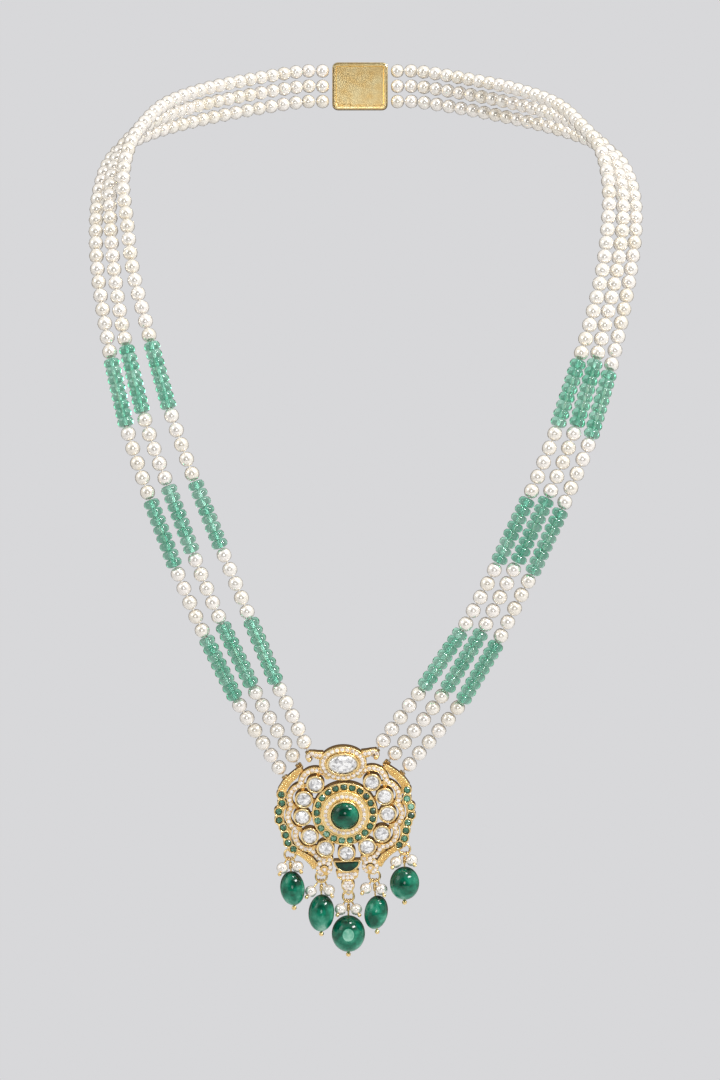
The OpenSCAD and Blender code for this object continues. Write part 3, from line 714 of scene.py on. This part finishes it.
# Horns beside the head, each curled round to a small ball
curl_at = (8.2, 15.95)
horn_out = flat([(5.3, 17.0), (6.4, 17.15), (7.6, 17.3)]) + ring_line(1.38, curl_at, 110, -50, count=10)
horn_in = flat([(6.0, 15.3), (7.0, 15.6), (7.75, 16.2)]) + ring_line(0.6, curl_at, 100, -40, count=6)
horn_middle = flat([(5.3, 16.3), (6.6, 16.5)]) + ring_line(0.98, curl_at, 130, -50, count=14)
edge_wire(horn_out, band_top, 0.18)
edge_wire(horn_in, band_top, 0.15)
edge_wire(horn_middle, 1.4, 0.66, sides=10)
set_on(pave_seats, flat([(5.9, 16.35), (7.0, 16.5), (8.1, 16.9), (9.1, 16.3)]), 2.02)

# Outer bands with two rows of grains, kept clear of the scallops
band_inset = -0.18
scallop_clear = 5.1
for outline, middle in ((top_band, top_band_middle), (foot_band, foot_band_middle)):
    line = inset_line(flat(outline), band_inset)
    for i, point in enumerate(line):
        for at in polki_at[:4]:
            if (point - at).length < scallop_clear:
                line[i] = at + (point - at).normalized() * scallop_clear
    edge_wire(line, outer_top, 0.17, True)
    middle = smooth_line(flat(middle), 4)
    for shift in (-0.42, 0.42):
        set_on(grain_seats, spaced(beside(middle, shift), grain_step), outer_grain_top)

# Seats of the two melee columns, with prongs between the stones
for i, at in enumerate(melee_column):
    edge_wire(ring_line(column_seat_r, at, count=20), column_top, 0.15, True)
    if i:
        middle = (Vector(at) + Vector(melee_column[i - 1])) / 2
        way = (Vector(at) - Vector(melee_column[i - 1])).normalized()
        set_on(grain_seats, [middle + Vector((-way.y, way.x)) * shift for shift in (-0.75, 0.75)], 1.95)

# Scrolls beside the crescent, an arch of stones over a slit and a stone in its curl
for radius, at, start, end, count, thick in ((2.12, (6.2, -15.1), -62, 236, 36, 0.18),
                                             (0.92, (6.9, -16.5), -150, 20, 12, 0.16),
                                             (1.0, (6.1, -15.6), -30, 210, 20, 0.14),
                                             (0.82, (4.6, -12.9), 60, 300, 14, 0.16)):
    edge_wire(ring_line(radius, at, start, end, count=count), band_top, thick)
set_on(pave_seats, ring_line(1.66, (6.15, -15.2), -38, 218, count=6), band_top)
set_on(pave_seats, flat([(4.6, -12.9), (6.1, -15.6), (7.0, -16.7)]), band_top)

# Crescent seat, fan, boss and tip
moon = ring_line(3.5, (0, -12.85), -172, -8, count=28)
edge_wire(moon + flat([(3.45, -13.35), (-3.45, -13.35)]), 2.3, 0.2, True, False)
fan = flat([(-2.9, -16.55), (0, -16.3), (2.9, -16.55), (2.55, -18.05), (1.35, -18.9), (-1.35, -18.9),
            (-2.55, -18.05)])
edge_wire(fan, foot_top, 0.17, True, False)
set_on(pave_seats, flat([(0, -17.15), (0, -18.25)]), foot_top, False)
set_on(pave_seats, flat([(1.05, -17.2), (2.05, -17.3), (1.1, -18.2)]), foot_top)
boss_at = (0, -20.4)
edge_wire(ring_line(1.58, boss_at, count=24), band_top, 0.2, True, False)
set_on(pave_seats, flat([boss_at]) + ring_line(0.98, boss_at, count=6), band_top, False)
tip = flat([(-1.25, -21.2), (-1.0, -22.3), (0, -23.05), (1.0, -22.3), (1.25, -21.2)])
edge_wire(tip, foot_top, 0.16, False, False)
set_on(pave_seats, flat([(0, -22.2)]), foot_top, False)


def ball_at(place, radius, segments):
    """A gold ball or grain"""
    bpy.ops.object.select_all(action="DESELECT")
    bpy.ops.mesh.primitive_uv_sphere_add(segments=segments, ring_count=segments // 2 + 1,
                                         radius=radius * mm)
    bpy.context.object.matrix_world = place
    bpy.ops.object.shade_smooth()
    return bpy.context.object


def loop_at(place, radius, thick, segments=20, sides=8):
    """A closed ring of round wire"""
    bpy.ops.object.select_all(action="DESELECT")
    bpy.ops.mesh.primitive_torus_add(major_radius=radius * mm, minor_radius=thick * mm,
                                     major_segments=segments, minor_segments=sides)
    bpy.context.object.matrix_world = place
    bpy.ops.object.shade_smooth()
    return bpy.context.object


# Coils of wire round the tubes that the strands come out of, and the grains and horn balls
coil_steps = (-0.6, -0.2, 0.2, 0.6)
tube_coil_r, tube_coil_wire = 0.7, 0.2
grain_r = 0.3
horn_ball_r = 0.68
horn_ball_at = (8.84, 15.18, 1.7)
for line, starts in strands.values():
    heading = point_on(line, first_bead) - line[0][1]
    for s in coil_steps:
        place = along(line[0][1] + heading.normalized() * s * mm, heading)
        gold_parts.append(loop_at(place, tube_coil_r, tube_coil_wire, 18, 6))
grain_model = ball_at(Matrix(), grain_r, 8)
gold_parts += copies(grain_model, [seat(*at) for at in grain_seats])
bpy.data.objects.remove(grain_model)
for sign in (-1, 1):
    gold_parts.append(ball_at(seat(sign * horn_ball_at[0], *horn_ball_at[1:]), horn_ball_r, 14))
finish_piece(join(gold_parts, "pendant_edges"), "gold", gold_paint)

# Painted shade: the plate is darker the deeper it lies, standing in for the shade in its cut-outs
plate_paint, shader, nodes, links = new_paint("frame_gold")
at = nodes.new("ShaderNodeTexCoord")
forward = pendant_place.to_3x3() @ Vector((0, 0, 1))
height_scale = 1 / (4 * mm)
level = worked_out(nodes, links, "DOT_PRODUCT", at.outputs["Object"], forward, sort="ShaderNodeVectorMath")
height = worked_out(nodes, links, "MULTIPLY_ADD", level, height_scale,
                    -height_scale * forward.dot(pendant_place.translation))
# Painted shade: deep brown low on the walls of the cut-outs, bright gold at the top
depth = ramp(nodes, links, height,
             ((0.01, (0.80, 0.53, 0.22)), (0.04, (0.17, 0.08, 0.02)), (0.2, (0.58, 0.34, 0.11)),
              (0.42, (0.95, 0.64, 0.24)), (0.7, (1.0, 0.76, 0.35))))
worn = ramp(nodes, links, noise(nodes, links, 420, 3), ((0.3, (0.82, 0.78, 0.70)), (0.7, (1.0, 1.0, 1.0))))
links.new(times(nodes, links, depth, worn), shader.inputs["Base Color"])
shader.inputs["Metallic"].default_value = 1
shader.inputs["Roughness"].default_value = 0.3
grain = nodes.new("ShaderNodeBump")
grain.inputs["Strength"].default_value = 0.7
grain.inputs["Distance"].default_value = 0.12 * mm
links.new(noise(nodes, links, 1400, 3), grain.inputs["Height"])
links.new(grain.outputs["Normal"], shader.inputs["Normal"])
frame_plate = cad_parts["pendant_frame"]
frame_plate.data.materials.clear()
frame_plate.data.materials.append(plate_paint)

# ---- White stones
# Small round cut stones in the bands, and larger flat polki stones, uneven and with few facets,
# over silver foil. The head holds an oval stone with long facets.
clear_paint, shader, nodes, links = new_paint("clear_stone")
# Painted reflections: each facet gets its own shade from grey to white, and the foil gets grey patches, as
# facets and foil would reflect their surroundings
tone = ramp(nodes, links, attribute(nodes, "tone"),
            ((0.0, (0.50, 0.50, 0.51)), (0.3, (0.88, 0.88, 0.89)), (0.6, (1.0, 1.0, 0.99))))
foil_painted_reflections = ramp(nodes, links, noise(nodes, links, 1300, 5),
            ((0.38, (0.55, 0.54, 0.54)), (0.47, (0.95, 0.95, 0.95)), (0.55, (1.0, 1.0, 1.0))))
links.new(times(nodes, links, tone, foil_painted_reflections), shader.inputs["Base Color"])
shader.inputs["Metallic"].default_value = 0.3
shader.inputs["Roughness"].default_value = 0.14
shader.inputs["Coat Weight"].default_value = 1
shader.inputs["Coat Roughness"].default_value = 0.02


def cut_stone(sides, radius, girdle, steps):
    """A cut stone, its crown drawn in by steps of width and height to a flat table"""
    bpy.ops.object.select_all(action="DESELECT")
    bpy.ops.mesh.primitive_cylinder_add(vertices=sides, radius=radius * mm, depth=girdle * mm)
    stone = bpy.context.object
    pick(stone, "FACE", lambda face: face.normal.z > 0.9)
    for width, height in steps:
        bpy.ops.mesh.inset(thickness=width * mm, depth=height * mm)
    done_editing()
    return stone


def poke_table(stone, fewest_sides=3):
    """Breaks the table up into facets that meet in a point, with the flattest faces beside it"""
    pick(stone, "FACE", lambda face: face.normal.z > 0.95 and len(face.vertices) >= fewest_sides)
    bpy.ops.mesh.poke()
    done_editing()


pave_paint, shader, nodes, links = new_paint("small_clear_stone")
# Painted reflections: each facet gets its own shade from gold brown to cream, as the facets would reflect
# the gold round them and the lights
tone = ramp(nodes, links, attribute(nodes, "tone"),
            ((0.0, (0.36, 0.26, 0.19)), (0.25, (0.84, 0.71, 0.60)), (0.6, (0.98, 0.93, 0.87))))
links.new(tone, shader.inputs["Base Color"])
shader.inputs["Metallic"].default_value = 0.35
shader.inputs["Roughness"].default_value = 0.12
shader.inputs["Coat Weight"].default_value = 1
shader.inputs["Coat Roughness"].default_value = 0.03
pave_model = cut_stone(8, 0.57, 0.3, [(0.22, 0.16)])
pave_lift = 0.08
turned_seats = [seat(p, q, w + pave_lift, random.random()) for p, q, w in pave_seats]
stones = copies(pave_model, turned_seats, 0.1, 1.0, True)
finish_piece(join(stones, "small_white_stones"), "clear_stone", pave_paint)
bpy.data.objects.remove(pave_model)

polki_level = 2.15
table_from = 0.45 * mm
table_shift = 0.5
polki_nodes = [("left", -1, n) for n in range(5)] + [("bottom", 1, 5)] + [("right", 1, n) for n in range(5)]
for side, sign, n in polki_nodes:
    name = "polki_bottom" if side == "bottom" else f"polki_{side}_{n + 1}"
    stone = cut_stone(11, 2.05, 0.8, [(0.5, 0.4), (0.55, 0.18)])
    pick(stone, "VERT", lambda v: v.co.z > table_from)
    bpy.ops.transform.vertex_random(offset=0.16 * mm, seed=n + 7 * (sign + 2))
    done_editing()
    poke_table(stone)
    pick(stone, "VERT", lambda v: v.co.z > table_from and v.co.xy.length < 0.4 * mm)
    bpy.ops.transform.translate(value=(random.uniform(-table_shift, table_shift) * mm,
                                       random.uniform(-table_shift, table_shift) * mm, 0))
    done_editing()
    # Painted reflections: a shade of its own for each facet
    set_tone(stone, 0.0, 1.0, True)
    stone.matrix_world = seat(sign * polki_at[n].x, polki_at[n].y, polki_level)
    finish_piece(join([stone], f"polki_stone_{side}_{n + 1}"), "clear_stone", clear_paint, name)

# The head stone is cut round, 1 mm in radius, and then drawn out to its oval
stone = cut_stone(16, 1, 0.9, [(0.16, 0.42), (0.2, 0.2), (0.2, 0.04)])
poke_table(stone, 5)
# Painted reflections: a shade of its own for each facet
set_tone(stone, 0.0, 1.0, True)
stone.matrix_world = seat(*head_at, 2.6) @ Matrix.Diagonal((3.9, 2.65, 1, 1))
finish_piece(join([stone], "oval_head_stone"), "clear_stone", clear_paint, "head_stone")

# ---- Green stones of the pendant
# Round melee from dark to pale green in the ring and the two columns, a polished cabochon in the
# middle, and a flat half-moon stone below.
melee_paint, shader, nodes, links = new_paint("green_melee")
tone = ramp(nodes, links, attribute(nodes, "tone"),
            ((0.0, (0.002, 0.03, 0.014)), (0.4, (0.015, 0.13, 0.065)),
             (0.7, (0.07, 0.33, 0.20)), (1.0, (0.40, 0.72, 0.56))))
links.new(tone, shader.inputs["Base Color"])
shader.inputs["Roughness"].default_value = 0.1
shader.inputs["Coat Weight"].default_value = 1
shader.inputs["Coat Roughness"].default_value = 0.03
melee_model = cut_stone(10, 0.9, 0.4, [(0.3, 0.3)])
poke_table(melee_model)
ring_r, ring_level, column_level = 7.5, 2.25, 1.55
right_column_pale = (0.5, 0.8, 0.95, 0.25, 0.7, 0.45, 0.6, 0.35)

# The stones of the ring are paler towards the lower left, and the right column's are the palest
stones = []
for i in range(melee_ring_count):
    at = ring_line(ring_r, start=90 + 360 * i / melee_ring_count, end=180, count=1)[0]
    pale = random.uniform(0.0, 0.3) - 0.02 * at.x - 0.025 * at.y
    stones += copies(melee_model, [seat(*at, ring_level, random.random())], pale, pale + 0.6, True)
finish_piece(join(stones, "melee_ring_stones"), "mint_stone", melee_paint, "melee_ring")
stones = []
for i, (p, q) in enumerate(melee_column):
    stones += copies(melee_model, [seat(-p, q, column_level, random.random())], 0.0, 0.7, True)
    pale = right_column_pale[i]
    stones += copies(melee_model, [seat(p, q, column_level, random.random())], pale - 0.3, pale + 0.2, True)
finish_piece(join(stones, "melee_column_stones"), "mint_stone", melee_paint, "melee_columns")
bpy.data.objects.remove(melee_model)

green_paint, shader, nodes, links = new_paint("green_stone")
# Noise veins of the stone, with painted light: the pale value makes the drop beads paler towards their
# bottoms, where light through the stone gathers
veins_and_painted_light = worked_out(nodes, links, "MULTIPLY_ADD", attribute(nodes, "pale"), 0.3, noise(nodes, links, 300, 7))
tone = ramp(nodes, links, veins_and_painted_light,
            ((0.42, (0.0, 0.03, 0.016)), (0.55, (0.0, 0.095, 0.05)), (0.68, (0.006, 0.20, 0.115)),
             (0.80, (0.06, 0.34, 0.22)), (0.95, (0.30, 0.58, 0.45))))
links.new(tone, shader.inputs["Base Color"])
shader.inputs["Roughness"].default_value = 0.05
shader.inputs["IOR"].default_value = 1.45


def set_pale(thing, value):
    """Gives each point of a stone how pale it is there"""
    pale = thing.data.attributes.new("pale", "FLOAT", "POINT")
    pale.data.foreach_set("value", [value(v.co) for v in thing.data.vertices])


cabochon_r, cabochon_high = 3.7, 2.9
bpy.ops.object.select_all(action="DESELECT")
bpy.ops.mesh.primitive_uv_sphere_add(segments=40, ring_count=20, radius=cabochon_r * mm)
cabochon = bpy.context.object
pick(cabochon, "VERT", lambda v: True)
bpy.ops.mesh.bisect(plane_co=(0, 0, 0), plane_no=(0, 0, 1), clear_inner=True, use_fill=True)
done_editing()
pick(cabochon, "VERT", lambda v: True)
bpy.ops.transform.resize(value=(1, 1, cabochon_high / cabochon_r))
done_editing()
bpy.ops.object.shade_smooth_by_angle(angle=math.radians(40))
set_pale(cabochon, lambda co: 0.1)
cabochon.matrix_world = seat(0, 0, halo_top)
finish_piece(join([cabochon], "cabochon_stone"), "green_stone", green_paint, "cabochon")

moon_r, moon_thick, moon_cut, moon_round = 3.15 * mm, 1.0 * mm, -0.55 * mm, 0.3 * mm
bpy.ops.object.select_all(action="DESELECT")
bpy.ops.mesh.primitive_cylinder_add(vertices=48, radius=moon_r, depth=moon_thick)
half_moon = bpy.context.object
pick(half_moon, "VERT", lambda v: True)
bpy.ops.mesh.bisect(plane_co=(0, moon_cut, 0), plane_no=(0, 1, 0), clear_outer=True, use_fill=True)
done_editing()
pick(half_moon, "FACE", lambda face: face.normal.z > 0.9)
bpy.ops.mesh.bevel(offset=moon_round, segments=3, affect="EDGES")
done_editing()
bpy.ops.object.shade_smooth_by_angle(angle=math.radians(40))
set_pale(half_moon, lambda co: 0.0)
half_moon.matrix_world = seat(0, -13.05, 1.95)
finish_piece(join([half_moon], "half_moon_stone"), "green_stone", green_paint, "crescent_stone")

# ---- Drops
# Each hangs from an eye behind the frame: a jump ring, then three wires looped over its foot. The
# middle wire carries a tumbled green bead, the outer ones a small pearl each, all held by balls.

# Each row gives, in millimetres and degrees: the eye's place on the pendant, the bead's width and
# height, how far the bead's top hangs below the ring's foot, the swing of the drop, the bead's own
# turn, then x and z of the left and of the right small pearl, from the ring's foot.
drop_rows = {
    "far_left": (-15.1, -10.4, 6.5, 9.2, 3.0, 5, -3, -2.0, -2.1, 2.1, -1.7),
    "near_left": (-7.0, -17.0, 6.9, 9.9, 3.3, 0, 4, -2.8, -2.4, 2.1, -2.1),
    "centre": (0.0, -22.9, 8.9, 9.8, 3.6, 0, 0, -2.1, -1.9, 2.1, -1.9),
    "near_right": (7.2, -17.4, 6.2, 9.1, 3.7, 3, 14, -2.3, -1.7, 1.9, -2.0),
    "far_right": (15.5, -10.1, 7.8, 8.9, 3.2, 0, 2, -2.3, -1.9, 1.9, -1.4)}
eye_level = -0.6
jump_r, jump_wire = 1.45, 0.32
loop_r, loop_wire = 0.62, 0.22
pin_wire = 0.24
coil_r, coil_wire, coil_top, coil_long = 0.36, 0.17, -0.7, 1.7
foot_ball_r, small_ball_r = 0.65, 0.525
small_pearl_r = 1.57
small_pearl_y = -1.3
tail_long = 2.025
spot_level, spot_r = -0.93 * mm, 0.35 * mm
spot_rim, spot_deep = 0.03 * mm, 0.012 * mm
spot_pale, bead_painted_light = 1.3, 0.42
upright = Matrix.Rotation(math.radians(90), 4, "X")
sideways = Matrix.Rotation(math.radians(90), 4, "Y")

small_pearl = model_pearl(small_pearl_r * mm, "small_pearl_model")
for name, row in drop_rows.items():
    eye_p, eye_q, bead_wide, bead_high, bead_drop, swung, turned = row[:7]
    foot = on_pendant(eye_p, eye_q, eye_level) - Vector((0, 0, 2 * jump_r)) * mm
    ring_place = Matrix.Translation(foot + Vector((0, 0, jump_r)) * mm) @ upright
    ring = join([loop_at(ring_place, jump_r, jump_wire, 28)], f"jump_ring_wire_{name}")
    finish_piece(ring, "gold", gold_paint, f"jump_ring_{name}")

    # The middle wire is wound round itself under its loop, and ends in a ball below the bead
    swing = Matrix.Translation(foot) @ Matrix.Rotation(math.radians(-swung), 4, "Y")
    bottom = -bead_drop - bead_high - foot_ball_r
    parts = [loop_at(swing @ sideways, loop_r, loop_wire)]
    parts.append(wire([swing @ (Vector((0, 0, z)) * mm) for z in (-loop_r, bottom)], pin_wire * mm))
    coil = [Vector((coil_r * math.cos(t / 2), coil_r * math.sin(t / 2), coil_top - coil_long * t / 60))
            for t in range(61)]
    parts.append(wire([swing @ (point * mm) for point in coil], coil_wire * mm))
    parts.append(ball_at(Matrix.Translation(swing @ Vector((0, 0, bottom * mm))), foot_ball_r, 16))

    # The outer wires hang from places a little to each side of the ring's foot
    seats = []
    for aside, (x, z) in ((-0.8, row[7:9]), (0.8, row[9:11])):
        turn = math.asin(aside / jump_r)
        top = Vector((aside, 0, jump_r * (1 - math.cos(turn))))
        start = top + Vector((loop_r * math.sin(turn), 0, -loop_r * math.cos(turn)))
        pearl = Vector((x, small_pearl_y, z))
        way = (pearl - start).normalized()
        tail = pearl + way * tail_long
        loop_place = Matrix.Translation(foot + top * mm) @ Matrix.Rotation(-turn, 4, "Y") @ sideways
        parts.append(loop_at(loop_place, loop_r, loop_wire))
        parts.append(wire([foot + start * mm, foot + tail * mm], pin_wire * mm))
        parts.append(ball_at(Matrix.Translation(foot + tail * mm), small_ball_r, 12))
        seats.append(along(foot + pearl * mm, way))
    finish_piece(join(parts, f"head_pin_wires_{name}"), "gold", gold_paint, f"head_pins_{name}")
    pair = join(copies(small_pearl, seats), f"small_pearls_{name}")
    finish_piece(pair, "pearl", pearl_paint, f"drop_pearls_{name}")

    # The bead is a ball of 1 mm radius, drawn out to its size at the end. The middle one has a
    # pale flat spot polished on its front.
    bpy.ops.object.select_all(action="DESELECT")
    bpy.ops.mesh.primitive_uv_sphere_add(segments=48, ring_count=30, radius=1 * mm)
    bead = bpy.context.object
    pick(bead, "VERT", lambda v: v.co.xy.length < 0.05 * mm)
    bpy.ops.transform.resize(value=(1, 1, mouth_in))
    done_editing()
    if name == "centre":
        pick(bead, "VERT", lambda v: True)
        bpy.ops.mesh.bisect(plane_co=(0, spot_level, 0), plane_no=(0, -1, 0), use_fill=True,
                            clear_outer=True, threshold=0.001 * mm)
        bpy.ops.mesh.inset(thickness=spot_rim, depth=-spot_deep)
        done_editing()
    bpy.ops.object.shade_smooth_by_angle(angle=math.radians(11))
    # Painted light: each bead is paler towards its bottom, where light through the stone gathers; the
    # middle one's front spot is paler still
    set_pale(bead, lambda co: spot_pale if co.y < -0.9 * mm and co.xz.length < spot_r and name == "centre"
             else bead_painted_light - bead_painted_light * co.z / mm)
    bead.matrix_world = (swing @ Matrix.Translation(Vector((0, 0, -bead_drop - bead_high / 2)) * mm)
                         @ Matrix.Rotation(math.radians(turned), 4, "Y")
                         @ Matrix.Diagonal((bead_wide / 2, bead_wide / 2, bead_high / 2, 1)))
    finish_piece(join([bead], f"tumbled_bead_{name}"), "green_stone", green_paint, f"green_drop_{name}")
bpy.data.objects.remove(small_pearl)
